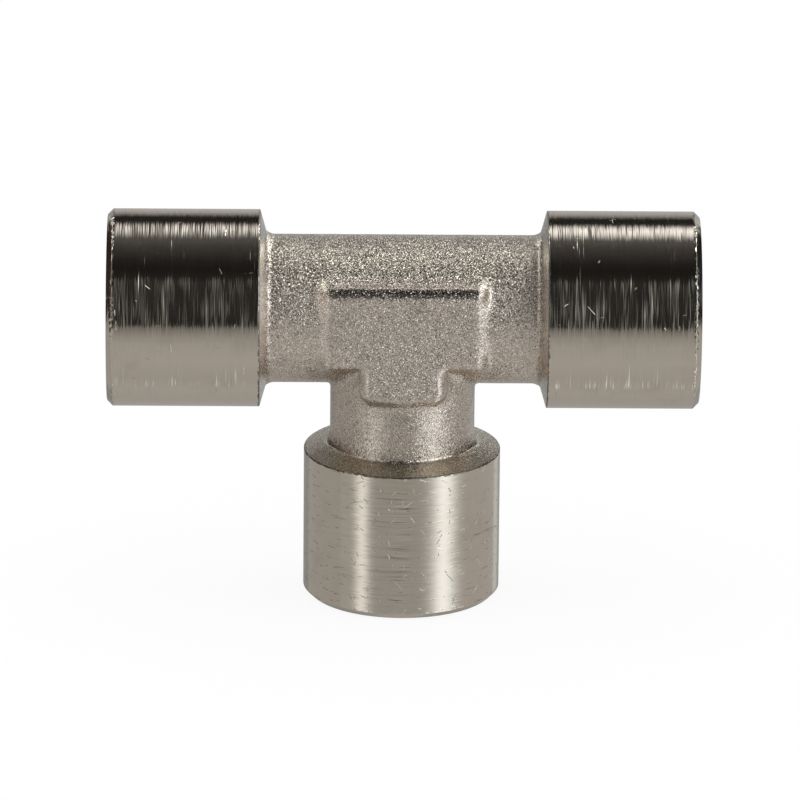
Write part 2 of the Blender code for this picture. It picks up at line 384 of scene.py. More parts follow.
def makeForgedTree():
    # Two crossing necks with a fillet between them and a raised T on both sides, round the origin
    tree, given = newGeometryTree("forged_middle", forging)
    place = addNode(tree, "GeometryNodeInputPosition").outputs[0]
    x, y, z = parts(tree, place)
    sideways = calc(tree, "ABSOLUTE", x)
    run = minus(tree, diagonal(tree, y, z), given["Run Neck"])
    branch = calc(tree, "MAXIMUM", minus(tree, diagonal(tree, x, y), given["Branch Neck"]), z)
    necks = roundJoin(tree, run, branch, given["Saddle Fillet"])

    bar = roundedBox(tree, x, z, given["Pad Half Length"], given["Pad Half Width"], given["Pad Corner"])
    beside = minus(tree, sideways, given["Stem Half Width"])
    up = plus(tree, z, given["Stem Reach"], times(tree, given["Stem End Radius"], -1))
    below = minus(tree, diagonal(tree, x, up), given["Stem End Radius"])
    stem = calc(tree, "MAXIMUM", roundCorner(tree, beside, below, given["Stem Corner"]), z)
    outline = roundJoin(tree, bar, stem, given["Pad Corner"])
    drop = minus(tree, given["Pad Plane"], calc(tree, "ABSOLUTE", y))
    lean = times(tree, drop, calc(tree, "TANGENT", given["Pad Draft"]))
    wall = times(tree, minus(tree, outline, lean), calc(tree, "COSINE", given["Pad Draft"]))
    pad = roundCorner(tree, wall, times(tree, drop, -1), given["Pad Edge"])
    change = given["Foot Change Start"], given["Foot Change End"], given["Stem Foot"], given["Pad Foot"]
    form = roundJoin(tree, necks, pad, ramp(tree, sideways, *change))

    # A block of voxels holds the form, and its surface is read off where the distance is nought
    inputs = {"Density": times(tree, form, -1), "Background": -1.0}
    lowest, highest = {}, {}
    lowerEnds, upperEnds = ("Run Cut", "Pad Plane", "Branch Cut"), ("Run Cut", "Pad Plane", "Run Neck")
    for axis, lower, upper in zip("XYZ", lowerEnds, upperEnds):
        lowest[axis] = times(tree, plus(tree, given[lower], given["Margin"]), -1)
        highest[axis] = plus(tree, given[upper], given["Margin"])
        span = minus(tree, highest[axis], lowest[axis])
        inputs["Resolution " + axis] = over(tree, span, given["Voxel"])
    inputs["Min"], inputs["Max"] = joined(tree, lowest), joined(tree, highest)
    block = addNode(tree, "GeometryNodeVolumeCube", inputs)
    skin = addNode(tree, "GeometryNodeVolumeToMesh", {"Volume": block.outputs[0], "Threshold": 0.0})

    # Slight unevenness of the die's surface, fading out towards the turned necks
    lump = noiseAt(tree, place, given["Lumps per m"], 2.0)
    fadeRun = ramp(tree, minus(tree, given["Run Cut"], sideways), 0.0, given["Lump Fade"])
    fadeBranch = ramp(tree, plus(tree, given["Branch Cut"], z), 0.0, given["Lump Fade"])
    rise = times(tree, lump, given["Unevenness"], fadeRun, fadeBranch)
    normal = addNode(tree, "GeometryNodeInputNormal").outputs[0]
    inputs = {"Geometry": skin.outputs[0], "Offset": scaled(tree, normal, rise)}
    moved = addNode(tree, "GeometryNodeSetPosition", inputs)

    # The T's edge is kept for the finish, which is smoother there, most of all at the top
    atTop = ramp(tree, z, *edgeBand["topHeights"])
    atTop = times(tree, atTop, ramp(tree, sideways, *edgeBand["topSides"]))
    atStem = ramp(tree, sideways, *edgeBand["stemSides"], *edgeBand["stemShares"])
    inside = [times(tree, given["Pad Edge"], -share) for share in edgeBand["inside"]]
    outside = ramp(tree, atTop, 0, 1, *edgeBand["outside"])
    onWall = times(tree, ramp(tree, wall, *inside), ramp(tree, wall, outside, 0.0))
    onEdge = times(tree, onWall, calc(tree, "MAXIMUM", atTop, atStem))
    inputs = {"Geometry": moved.outputs[0], "Name": "edge", "Value": onEdge}
    kind = {"data_type": "FLOAT", "domain": "POINT"}
    marked = addNode(tree, "GeometryNodeStoreNamedAttribute", inputs, **kind)
    closeGeometryTree(tree, marked.outputs[0], given["Finish"])
    return tree


# Outlines of the turned parts, as (radius, height) from the crossing

port = {
    "threadDepth": 11.0 * mm,
    "socketDepth": 12.0 * mm,
    "drillPoint": math.radians(118),
    "waterways": (4.3 * mm, 4.2 * mm),  # radius in the run and in the branch
}


def arc(centre, radius, start, end, steps):
    angles = [start + (end - start) * i / steps for i in range(steps + 1)]
    return [(centre[0] + radius * math.cos(a), centre[1] + radius * math.sin(a)) for a in angles]


def softened(before, corner, after, radius):
    # Points of a rounded corner, with a point close on each side that keeps the flats flat
    corner = Vector(corner)
    back = (Vector(before) - corner).normalized()
    ahead = (Vector(after) - corner).normalized()
    half = back.angle(ahead) / 2
    setback = radius / math.tan(half)
    centre = corner + (back + ahead).normalized() * radius / math.sin(half)
    start = corner + back * setback - centre
    end = corner + ahead * setback - centre
    steps, reach = meshing["cornerSteps"], setback + meshing["flatGap"]
    bow = [centre + start.lerp(end, i / steps).normalized() * radius for i in range(steps + 1)]
    return [tuple(point) for point in (corner + back * reach, *bow, corner + ahead * reach)]


def spaced(start, end, gap):
    # Even steps between two points, without either
    steps = max(1, round((Vector(end) - Vector(start)).length / gap))
    return [tuple(Vector(start).lerp(Vector(end), i / steps)) for i in range(1, steps)]


def collarOutlines(neckRadius, neckCut, collarLength, root):
    # The blasted neck and shoulder, then the turned land, chamfer and rim
    lean = collar["shoulderLean"]
    outer = tee["collarRadius"]
    edge = (outer, tee["reach"] - collarLength)
    rootTopRadius = neckRadius + root * (1 - math.sin(lean))
    rootTopHeight = edge[1] - (outer - rootTopRadius) * math.tan(lean)
    centre = (neckRadius + root, rootTopHeight - root * math.cos(lean))
    rootArc = arc(centre, root, math.pi, math.pi / 2 + lean, meshing["rootSteps"])
    neckStart = (neckRadius, neckCut + meshing["neckGap"])
    neckEnd = (neckRadius, rootArc[0][1] - meshing["flatGap"])
    neck = [neckStart] + spaced(neckStart, neckEnd, meshing["neckStep"]) + [neckEnd]
    chamferStart = (outer, tee["reach"] - collar["chamfer"])
    rimEdge = (outer - collar["chamfer"], tee["reach"])
    shoulder = softened(rootArc[-1], edge, chamferStart, collar["shoulderCorner"])
    rim = softened(shoulder[-1], chamferStart, rimEdge, collar["rimCorner"])
    wall = spaced(rootArc[-1], shoulder[0], meshing["wallStep"])
    land = spaced(shoulder[-1], rim[0], meshing["landStep"])
    blasted = neck + rootArc + wall + shoulder[:2]
    turned = shoulder[1:] + land + rim + [rimEdge, (thread["Mouth Radius"], tee["reach"])]
    return blasted, turned


def boreOutline(waterway):
    # From the inner end of the thread over the socket's bottom to the waterway
    minor = thread["Minor Radius"]
    bottom = (minor, tee["reach"] - port["socketDepth"])
    point = (waterway, bottom[1] - (minor - waterway) / math.tan(port["drillPoint"] / 2))
    cone = spaced(bottom, point, meshing["wallStep"])
    return [(minor, tee["reach"] - port["threadDepth"]), bottom] + cone + [point]


def closedTube(radius, start, end, matrix):
    # A capped cylinder along the Z axis of a port's frame
    segments = meshing["segments"]
    angles = [math.tau * i / segments for i in range(segments)]
    body = bmesh.new()
    rings = []
    for height in (start, end):
        ring = [body.verts.new((radius * math.cos(a), radius * math.sin(a), height)) for a in angles]
        rings.append(ring)
        body.faces.new(ring if height == end else ring[::-1])
    for i in range(segments):
        j = (i + 1) % segments
        body.faces.new((rings[0][i], rings[0][j], rings[1][j], rings[1][i]))
    body.transform(matrix)
    mesh = bpy.data.meshes.new("tube")
    body.to_mesh(mesh)
    body.free()
    return addObject("tube", mesh)


def makeWaterway():
    # The two crossing bores as one open skin
    run, branch = (boreOutline(waterway)[-1] for waterway in port["waterways"])
    runTube = closedTube(run[0], -run[1], run[1], portFrames["right"])
    branchTube = closedTube(branch[0], 0.0, branch[1], portFrames["branch"])
    join = runTube.modifiers.new("join", "BOOLEAN")
    join.operation = "UNION"
    join.object = branchTube
    mesh = evaluated(runTube)
    for tube in (runTube, branchTube):
        bpy.data.objects.remove(tube, do_unlink=True)
    body = bmesh.new()
    body.from_mesh(mesh)
    caps = [face for face in body.faces if isCap(face, run[1], branch[1])]
    bmesh.ops.delete(body, geom=caps, context="FACES_ONLY")
    body.to_mesh(mesh)
    body.free()
    return mesh


def isCap(face, runEnd, branchEnd):
    near, facing = meshing["capReach"], meshing["capFacing"]
    middle = face.calc_center_median() - crossing
    onRun = abs(abs(middle.x) - runEnd) < near and abs(face.normal.x) > facing
    onBranch = abs(middle.z + branchEnd) < near and abs(face.normal.z) > facing
    return onRun or onBranch


def addSkin(body, mesh, matrix, finish):
    # Adds a mesh to the body under one of its finishes
    known = set(body.faces)
    mesh.transform(matrix)
    body.from_mesh(mesh)
    bpy.data.meshes.remove(mesh)
    for face in body.faces:
        if face not in known:
            face.material_index = finish


def cutEnd(body, matrix, cut):
    # Cuts the forged middle open across one of its ports
    outward = (matrix.to_3x3() @ Vector((0, 0, 1))).normalized()
    point = crossing + outward * cut
    everything = body.verts[:] + body.edges[:] + body.faces[:]
    bmesh.ops.bisect_plane(body, geom=everything, plane_co=point, plane_no=outward, clear_outer=True)


def makeTee(finishes):
    turned, blasted, tapped = range(3)
    turnedTree = makeTurnedTree()
    threadTree = makeThreadTree()
    cuts = {side: forging["Branch Cut" if side == "branch" else "Run Cut"] for side in portFrames}

    body = bmesh.new()
    middle = growMesh(makeForgedTree(), {"Finish": finishes[blasted]})
    addSkin(body, middle, Matrix.Translation(crossing), blasted)
    for side, matrix in portFrames.items():
        cutEnd(body, matrix, cuts[side])
    print("stage: forged middle,", len(body.faces), "faces")

    for side, matrix in portFrames.items():
        isBranch = side == "branch"
        neck = forging["Branch Neck" if isBranch else "Run Neck"]
        length, root = collar["lengths"][isBranch], collar["roots"][isBranch]
        shoulder, land = collarOutlines(neck, cuts[side], length, root)
        flare = {
            "Flare Radius": neck - collar["flareBlend"],
            "Flare Start": tee["reach"] - length - collar["flareReach"],
            "Flare Slope": collar["flareSlope"],
            "Flare Blend": collar["flareBlend"],
        }
        bore = boreOutline(port["waterways"][isBranch])
        skins = ((shoulder, blasted, flare), (land, turned, {}), (bore, tapped, {}))
        for outline, finish, swelling in skins:
            values = {"Finish": finishes[finish], **swelling}
            addSkin(body, growMesh(turnedTree, values, outline), matrix, finish)
        values = {
            "Inner End": tee["reach"] - port["threadDepth"],
            "Mouth": tee["reach"],
            "Finish": finishes[tapped],
        }
        addSkin(body, growMesh(threadTree, values), matrix, tapped)
    addSkin(body, makeWaterway(), Matrix(), tapped)
    bmesh.ops.remove_doubles(body, verts=body.verts[:], dist=meshing["weld"])
    bmesh.ops.dissolve_degenerate(body, edges=body.edges[:], dist=meshing["sliver"])
    print("stage: ports turned and tapped,", len(body.faces), "faces")

    # Each open ring of the forging meets the ring of the turned neck beside it
    for side, matrix in portFrames.items():
        inPort, cut, reach = matrix.inverted(), cuts[side], meshing["ringReach"]
        openEdges = [edge for edge in body.edges if edge.is_boundary]
        ring = [edge for edge in openEdges if abs((inPort @ edge.verts[0].co).z - cut) < reach]
        bmesh.ops.bridge_loops(body, edges=ring)
    for face in body.faces:
        face.smooth = True
    bmesh.ops.triangulate(body, faces=[face for face in body.faces if len(face.verts) > 4])
    bmesh.ops.recalc_face_normals(body, faces=body.faces[:])
    for edge in body.edges:
        soft = all(face.material_index == blasted for face in edge.link_faces)
        threads = all(face.material_index == tapped for face in edge.link_faces)
        edge.smooth = soft or threads or edge.calc_face_angle(0.0) < meshing["sharpAngle"]
    openCount = sum(1 for edge in body.edges if not edge.is_manifold)
    triangles = sum(len(face.verts) - 2 for face in body.faces)
    print("stage: body closed,", triangles, "triangles,", openCount, "open edges")

    mesh = bpy.data.meshes.new("tee_fitting")
    for finish in finishes:
        mesh.materials.append(finish)
    body.to_mesh(mesh)
    body.free()
    piece = addObject("tee_fitting", mesh)
    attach(piece, "root")
    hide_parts("tee_body")
    return piece


# Finishes


def emptyTree(owner):
    owner.use_nodes = True
    owner.node_tree.nodes.clear()
    return owner.node_tree


def newMaterial(name):
    material = bpy.data.materials.new(name)
    return material, emptyTree(material)


def closeMetal(tree, colour, roughness, *tilts):
    # Closes a metal finish with its own shader, over a normal that leans with every tilt
    normal = addNode(tree, "ShaderNodeNewGeometry").outputs["Normal"]
    normal = vectorCalc(tree, "NORMALIZE", vectorPlus(tree, normal, *tilts))
    inputs = {"Metallic": 1.0, "Base Color": colour, "Roughness": roughness, "Normal": normal}
    shader = addNode(tree, "ShaderNodeBsdfPrincipled", inputs)
    addNode(tree, "ShaderNodeOutputMaterial", {"Surface": shader.outputs[0]})


def newGroup(name, inputs):
    tree = bpy.data.node_groups.new(name, "ShaderNodeTree")
    for socketName, value in inputs.items():
        addSocket(tree, socketName, "NodeSocketFloat", value)
    return tree, tree.nodes.new("NodeGroupInput").outputs


def closeGroup(tree, results):
    # Each result goes out through a socket of its own kind
    for name, value in results.items():
        kind = "NodeSocketVector" if value.type == "VECTOR" else "NodeSocketFloat"
        addSocket(tree, name, kind, direction="OUTPUT")
    addNode(tree, "NodeGroupOutput", results)
    return tree


def placeGroup(tree, group, values=None):
    return addNode(tree, "ShaderNodeGroup", values, node_tree=group).outputs


def leanAt(tree, vector, scale):
    # A random lean, mostly within a quarter each way
    inputs = {"Vector": vector, "Scale": scale, "Detail": 0.0}
    colour = addNode(tree, "ShaderNodeTexNoise", inputs).outputs["Color"]
    return vectorCalc(tree, "SUBTRACT", colour, (0.5, 0.5, 0.5))


def blend(tree, factor, first, second, kind="RGBA"):
    # The node keeps the sockets of each kind at places of their own
    a, b, result = {"VECTOR": (4, 5, 1), "RGBA": (6, 7, 2)}[kind]
    node = addNode(tree, "ShaderNodeMix", {"Factor": factor, a: first, b: second}, data_type=kind)
    return node.outputs[result]


def makePortPlaces():
    # Where a point lies in its own port, in millimetres: along, out from and round the axis
    tree, _ = newGroup("port_places", {})
    place = addNode(tree, "ShaderNodeTexCoord").outputs["Object"]
    place = scaled(tree, vectorCalc(tree, "SUBTRACT", place, crossing), 1 / mm)
    x, _, z = parts(tree, place)
    underRun = -tee["collarRadius"] / mm - 0.1  # a little below the run's collars
    isBranch = calc(tree, "LESS_THAN", z, underRun)
    runAxis = joined(tree, {"X": calc(tree, "SIGN", x)})
    axis = blend(tree, isBranch, runAxis, (0, 0, -1), "VECTOR")
    along = vectorCalc(tree, "DOT_PRODUCT", place, axis)
    outward = vectorCalc(tree, "SUBTRACT", place, scaled(tree, axis, along))
    outwardUnit = vectorCalc(tree, "NORMALIZE", outward)
    around = vectorCalc(tree, "CROSS_PRODUCT", axis, outwardUnit)
    normal = addNode(tree, "ShaderNodeNewGeometry").outputs["Normal"]
    results = {
        "Position": place,
        "Along": along,
        "Out": vectorCalc(tree, "LENGTH", outward),
        "Axis": axis,
        "Outward": outwardUnit,
        "Round": around,
        "Lengthways": vectorCalc(tree, "NORMALIZE", vectorCalc(tree, "CROSS_PRODUCT", around, normal)),
        "Branch": isBranch,
    }
    return closeGroup(tree, results)


# Pattern of the cutting tool's lines, in millimetres
turning = {
    "radius": 8.5,  # where the lines have their given length
    "stagger": 1.37,  # how far the pattern moves on per millimetre outwards
    "weights": (1.6, 0.5),  # of the fine and the coarse lines
    "coarseRate": 0.42,
    "patchRate": 0.07,
    "patchDepths": (-0.2, 0.2, 0.55, 1.4),  # ends of the fade, and how deep the lines are there
    "waverRate": 0.4,
    "waverScale": 2.5,
}


def makeTurningMarks(portPlaces):
    # Slopes left by the cutting tool: fine lines round the axis, of uneven depth and length
    inputs = {"Lines per mm": 8.0, "Length": 3.0, "Depth": 0.3, "Tails": 5.0}
    tree, given = newGroup("turning_marks", {**inputs, "Branch Share": 1.0, "Waver": 0.0})
    spot = placeGroup(tree, portPlaces)
    travel = plus(tree, spot["Along"], times(tree, spot["Out"], turning["stagger"]))
    spread = scaled(tree, spot["Outward"], over(tree, turning["radius"], given["Length"]))

    def lines(rate, shift):
        # The shift keeps the patterns apart
        run = plus(tree, times(tree, travel, given["Lines per mm"], rate), shift)
        return vectorPlus(tree, spread, scaled(tree, spot["Axis"], run))

    fine = noiseAt(tree, lines(1.0, 0.0), 1.0, 1.0)
    coarse = noiseAt(tree, lines(turning["coarseRate"], 31.0), 1.0, 1.0)
    fineWeight, coarseWeight = turning["weights"]
    wave = plus(tree, times(tree, fine, fineWeight), times(tree, coarse, coarseWeight))
    cube = times(tree, wave, wave, wave)
    slope = plus(tree, times(tree, wave, given["Depth"]), times(tree, cube, given["Tails"]))
    patches = noiseAt(tree, lines(turning["patchRate"], 17.0), 1.0)
    patches = ramp(tree, patches, *turning["patchDepths"])
    share = ramp(tree, spot["Branch"], 0, 1, 1.0, given["Branch Share"])
    tilt = scaled(tree, spot["Lengthways"], times(tree, slope, patches, share))
    wobble = noiseAt(tree, lines(turning["waverRate"], 57.0), turning["waverScale"], 1.0)
    wobble = scaled(tree, spot["Round"], times(tree, wobble, given["Waver"]))
    return closeGroup(tree, {"Tilt": vectorPlus(tree, tilt, wobble)})


# Short dashes round the collar, dents every way, and longer thin strokes
nickInputs = ("Cells per mm", "Half Length", "Half Width", "Turn", "Run Share", "Branch Share", "Depth")
nickKinds = {
    "dashes": (1.0, 0.6, 0.035, 0.15, 0.01, 0.33, 0.6),
    "dents": (1.0, 0.25, 0.04, 1.6, 0.04, 0.65, 0.9),
    "strokes": (0.45, 0.6, 0.035, 1.2, 0.05, 0.5, 0.7),
}
nickForm = {
    "shortest": 0.3,  # share of the given length
    "bend": 0.5,
    "fade": (1.0, 0.6),  # towards the sides and the ends
}


def makeNicks(portPlaces):
    # Short grooves, one in a cell, each with its own turn, length and depth
    tree, given = newGroup("nicks", dict(zip(nickInputs, nickKinds["dashes"])))
    spot = placeGroup(tree, portPlaces)
    inputs = {"Vector": spot["Position"], "Scale": given["Cells per mm"]}
    cell = addNode(tree, "ShaderNodeTexVoronoi", inputs).outputs
    chance = addNode(tree, "ShaderNodeSeparateColor", {"Color": cell["Color"]}).outputs
    away = vectorCalc(tree, "SUBTRACT", spot["Position"], cell["Position"])
    u = vectorCalc(tree, "DOT_PRODUCT", away, spot["Round"])
    v = vectorCalc(tree, "DOT_PRODUCT", away, spot["Lengthways"])
    turn = times(tree, minus(tree, chance["Red"], 0.5), 2.0, given["Turn"])
    cosine = calc(tree, "COSINE", turn)
    sine = calc(tree, "SINE", turn)
    along = plus(tree, times(tree, u, cosine), times(tree, v, sine))
    across = minus(tree, times(tree, v, cosine), times(tree, u, sine))
    bend = times(tree, minus(tree, chance["Green"], 0.5), nickForm["bend"])
    across = plus(tree, across, times(tree, along, along, bend))
    length = times(tree, given["Half Length"], plus(tree, nickForm["shortest"], chance["Green"]))
    side = over(tree, across, given["Half Width"])
    inWidth = ramp(tree, calc(tree, "ABSOLUTE", side), *nickForm["fade"])
    fromMiddle = over(tree, calc(tree, "ABSOLUTE", along), length)
    inLength = ramp(tree, fromMiddle, *nickForm["fade"])
    share = ramp(tree, spot["Branch"], 0, 1, given["Run Share"], given["Branch Share"])
    mask = times(tree, inWidth, inLength, calc(tree, "LESS_THAN", chance["Blue"], share))
    slope = times(tree, calc(tree, "SINE", times(tree, side, math.pi)), mask, given["Depth"])
    crossways = scaled(tree, spot["Lengthways"], cosine)
    crossways = vectorCalc(tree, "SUBTRACT", crossways, scaled(tree, spot["Round"], sine))
    return closeGroup(tree, {"Tilt": scaled(tree, crossways, slope)})


turnedFinish = {
    "colour": (0.66, 0.585, 0.49),
    "roughness": 0.11,
    # Branch Share is how strong the lines are on the branch collar, and Waver is unevenness round
    # the collar, which frays the edges of what it mirrors
    "lines": {
        "Lines per mm": 16.0,
        "Length": 3.4,
        "Depth": 0.30,
        "Tails": 0.45,
        "Branch Share": 0.6,
        "Waver": 0.10,
    },
    "dullColour": (0.60, 0.525, 0.43),  # of faint smudges
    "smudgesPerMm": 0.3,
    "smudgeFade": (0.02, 0.3),
    "landEdgeColour": (0.20, 0.17, 0.135),  # at the edge beside the shoulder
    "landEdgeRoughness": 0.4,
    "landEdgeFade": (0.14, 0.02),  # in millimetres
    "landEdgePerMm": 2.6,
    "landEdgeRaggedness": 0.5,
    "rimWear": (0.9, 0.25),  # how far the knocked corner of the rim leans, on run and branch
    "rimFade": (0.22, 0.08),  # in millimetres
    "knocksPerMm": 3.5,
}


def makeTurnedFinish(look, portPlaces, turningMarks, nicks):
    material, tree = newMaterial("turned_nickel")
    tilts = [placeGroup(tree, turningMarks, look["lines"])["Tilt"]]
    for values in nickKinds.values():
        tilts.append(placeGroup(tree, nicks, dict(zip(nickInputs, values)))["Tilt"])

    # Faint smudges, and a darker, rougher ragged band along the land's edge where it meets the shoulder
    spot = placeGroup(tree, portPlaces)
    smudge = noiseAt(tree, spot["Position"], look["smudgesPerMm"], 2.0)
    smudge = ramp(tree, smudge, *look["smudgeFade"])
    colour = blend(tree, smudge, look["colour"], look["dullColour"])
    edges = [(tee["reach"] - length) / mm for length in collar["lengths"]]
    fromEdge = minus(tree, spot["Along"], ramp(tree, spot["Branch"], 0, 1, *edges))
    ragged = noiseAt(tree, spot["Position"], look["landEdgePerMm"], 2.0)
    ragged = times(tree, ragged, look["landEdgeRaggedness"])
    landEdge = ramp(tree, minus(tree, fromEdge, ragged), *look["landEdgeFade"])
    colour = blend(tree, landEdge, colour, look["landEdgeColour"])
    roughness = ramp(tree, landEdge, 0, 1, look["roughness"], look["landEdgeRoughness"])

    # The corner between the land and the rim's chamfer is knocked
    corner = (tee["reach"] - collar["chamfer"]) / mm
    fromCorner = calc(tree, "ABSOLUTE", minus(tree, spot["Along"], corner))
    wear = ramp(tree, spot["Branch"], 0, 1, *look["rimWear"])
    knocked = times(tree, ramp(tree, fromCorner, *look["rimFade"]), wear)
    knocks = leanAt(tree, spot["Position"], look["knocksPerMm"])
    tilts.append(scaled(tree, knocks, knocked))
    closeMetal(tree, colour, roughness, *tilts)
    return material


blastedFinish = {
    "roughness": 0.16,
    "peakColour": (0.755, 0.652, 0.556),
    # The pits' darker colour is painted shade in the pits
    "shadedPitColour": (0.60, 0.514, 0.431),
    "rubbedColour": (0.42, 0.37, 0.305),  # of faint darker patches
    "rubbedPerMm": 0.45,
    "rubbedFade": (0.0, 0.28, 0.0, 0.45),  # its ends, and how much of the colour is there
    "grainPerMm": 12.5,
    "grainSlope": 1.85,
    "sparkle": 6.0,  # how much further the steepest spots lean
    "shoulderRoughness": 0.22,
    "shoulderLightAndShadeColours": ((0.88, 0.84, 0.78), (0.54, 0.48, 0.39)),  # run and branch: paler on the run as painted light, darker on the branch as painted shade
    "shoulderPaintedCover": 0.8,
    "shoulderFacing": (0.75, 0.9),
    "shoulderAlong": (9.0, 9.5),  # millimetres from the crossing
    "shoulderCalm": (0.55, 0.3),  # how much weaker the grain is there, on run and branch
    "branchCalm": (-6.5, -8.5, 0.0, 0.45),  # the same down the branch neck, between two heights
    "edgeCalm": 0.65,
}

# Form of the grain: its coarser share, and the pits
grainForm = {
    "wideScale": 0.45,
    "wideStrength": 0.45,
    "leastLean": 0.55,
    "pitScale": 0.8,
    "pitFade": (-0.16, 0.16),
}


def makeBlastGrain():
    # The overlapping pits of the shot: which way each spot leans, and how far up in its pit it lies
    tree, given = newGroup("blast_grain", {"Grains per mm": 9.0, "Slope": 1.0, "Sparkle": 5.0})
    place = addNode(tree, "ShaderNodeTexCoord").outputs["Object"]
    place = scaled(tree, place, 1 / mm)
    fine = leanAt(tree, place, given["Grains per mm"])
    wide = leanAt(tree, place, times(tree, given["Grains per mm"], grainForm["wideScale"]))
    lean = vectorPlus(tree, fine, scaled(tree, wide, grainForm["wideStrength"]))

    # Most spots lean little, and a few lean a lot and sparkle
    size = vectorCalc(tree, "DOT_PRODUCT", lean, lean)
    share = plus(tree, grainForm["leastLean"], times(tree, size, given["Sparkle"]))
    tilt = scaled(tree, lean, times(tree, share, given["Slope"]))
    pits = noiseAt(tree, place, times(tree, given["Grains per mm"], grainForm["pitScale"]), 1.0)
    return closeGroup(tree, {"Tilt": tilt, "Peak": ramp(tree, pits, *grainForm["pitFade"])})


def makeBlastedFinish(look, portPlaces, blastGrain):
    material, tree = newMaterial("blasted_nickel")

    # The shoulders behind the collars are turned first, so they are smoother and duller, and their
    # colour is painted light: paler on the run, and darker on the branch as painted shade
    spot = placeGroup(tree, portPlaces)
    normal = addNode(tree, "ShaderNodeNewGeometry").outputs["Normal"]
    facing = calc(tree, "ABSOLUTE", vectorCalc(tree, "DOT_PRODUCT", normal, spot["Axis"]))
    facing = ramp(tree, facing, *look["shoulderFacing"])
    shoulder = times(tree, facing, ramp(tree, spot["Along"], *look["shoulderAlong"]))
    edge = addNode(tree, "ShaderNodeAttribute", attribute_name="edge").outputs["Fac"]
    onBranch = ramp(tree, parts(tree, spot["Position"])["Z"], *look["branchCalm"])
    calm = plus(
        tree,
        times(tree, shoulder, ramp(tree, spot["Branch"], 0, 1, *look["shoulderCalm"])),
        times(tree, onBranch, minus(tree, 1, shoulder)),
        times(tree, edge, look["edgeCalm"]),
    )
    values = {
        "Grains per mm": look["grainPerMm"],
        "Slope": times(tree, minus(tree, 1, calm), look["grainSlope"]),
        "Sparkle": look["sparkle"],
    }
    grain = placeGroup(tree, blastGrain, values)
    # Painted shade: the colour darkens down into each pit and is lighter on the peaks
    colour = blend(tree, grain["Peak"], look["shadedPitColour"], look["peakColour"])
    patches = noiseAt(tree, spot["Position"], look["rubbedPerMm"], 3.0, 0.6)
    patches = ramp(tree, patches, *look["rubbedFade"])
    colour = blend(tree, patches, colour, look["rubbedColour"])
    # Painted light and shade on the shoulders: a paler colour on the run's, a darker one on the
    # branch's
    shoulderPaintedColour = blend(tree, spot["Branch"], *look["shoulderLightAndShadeColours"])
    paintedCover = times(tree, shoulder, look["shoulderPaintedCover"])
    colour = blend(tree, paintedCover, colour, shoulderPaintedColour)
    roughness = ramp(tree, shoulder, 0, 1, look["roughness"], look["shoulderRoughness"])
    closeMetal(tree, colour, roughness, grain["Tilt"])
    return material


tappedFinish = {
    "colour": (0.62, 0.56, 0.48),
    "roughness": 0.25,
    "lines": {"Lines per mm": 6.0, "Length": 6.0, "Depth": 0.25, "Tails": 1.0},
}


def makeTappedFinish(look, turningMarks):
    material, tree = newMaterial("tapped_nickel")
    marks = placeGroup(tree, turningMarks, look["lines"])
    closeMetal(tree, look["colour"], look["roughness"], marks["Tilt"])
    return material


# Camera at the photograph's angle

view = {
    "azimuth": math.radians(0.574),
    "elevation": math.radians(18.338),
    "roll": math.radians(0.501),
    "lens": 393.5,  # in millimetres, like the sensor
    "sensor": 36.0,
    "distance": 753.4 * mm,  # to the crossing, along the view
    "crossingRight": 0.277 * mm,  # the crossing's place beside and above the middle of the view
    "crossingUp": 7.879 * mm,
    "clip": (10 * mm, 20.0),
}


def makeCamera():
    turn, tip, roll = view["azimuth"], view["elevation"], view["roll"]
    forward = Vector((math.sin(turn) * math.cos(tip), math.cos(turn) * math.cos(tip), -math.sin(tip)))
    level = Vector((math.cos(turn), -math.sin(turn), 0))
    upright = level.cross(forward)
    right = level * math.cos(roll) + upright * math.sin(roll)
    up = upright * math.cos(roll) - level * math.sin(roll)
    aim = crossing - right * view["crossingRight"] - up * view["crossingUp"]
    place = Matrix.Translation(aim - forward * view["distance"])
    lens = bpy.data.cameras.new("view")
    lens.lens = view["lens"]
    lens.sensor_width = view["sensor"]
    lens.clip_start, lens.clip_end = view["clip"]
    camera = addObject("view", lens)
    camera.matrix_world = place @ Matrix((right, up, -forward)).transposed().to_4x4()
    bpy.context.scene.camera = camera


# Studio: a pale floor, one soft lamp, and the room that the metal reflects

studio = {
    "floorSize": 4.0,
    "floorColour": (0.86, 0.86, 0.86),
    "floorRoughness": 0.9,
    "floorShade": 0.1,  # how much of the shadow the camera sees
    "lampSize": 0.7,
    "lampHeight": 0.9,
    "lampPower": 2.0,
    "roomLight": 1.0,
}

# The room round the run's axis: degrees up from the front horizon, and how bright it is there
roomBands = [
    (-180, 0.49), (-168, 0.44), (-146, 0.42), (-113, 0.46), (-94, 0.50), (-72, 0.46), (-48, 0.51),
    (-27, 0.48), (-17, 0.39), (-8, 0.24), (-5.6, 0.19), (-4.6, 0.02), (20, 0.02), (50, 0.02),
    (63, 0.013), (73, 0.020), (84, 0.042), (96, 0.068), (102, 0.10), (110, 0.10), (130, 0.06),
    (138, 0.02), (150, 0.02), (156, 0.20), (163, 0.40), (172, 0.49), (180, 0.49),
]

# The same for the tent that stands beside the bands
tentBands = [
    (-180, 0.42), (-146, 0.36), (-113, 0.38), (-94, 0.41), (-70, 0.45), (-48, 0.47), (-17, 0.39),
    (-6, 0.30), (6, 0.22), (30, 0.12), (45, 0.15), (60, 0.17), (85, 0.8), (103, 4.6), (125, 7.0),
    (140, 5.4), (152, 1.8), (161, 0.6), (172, 0.45), (180, 0.45),
]

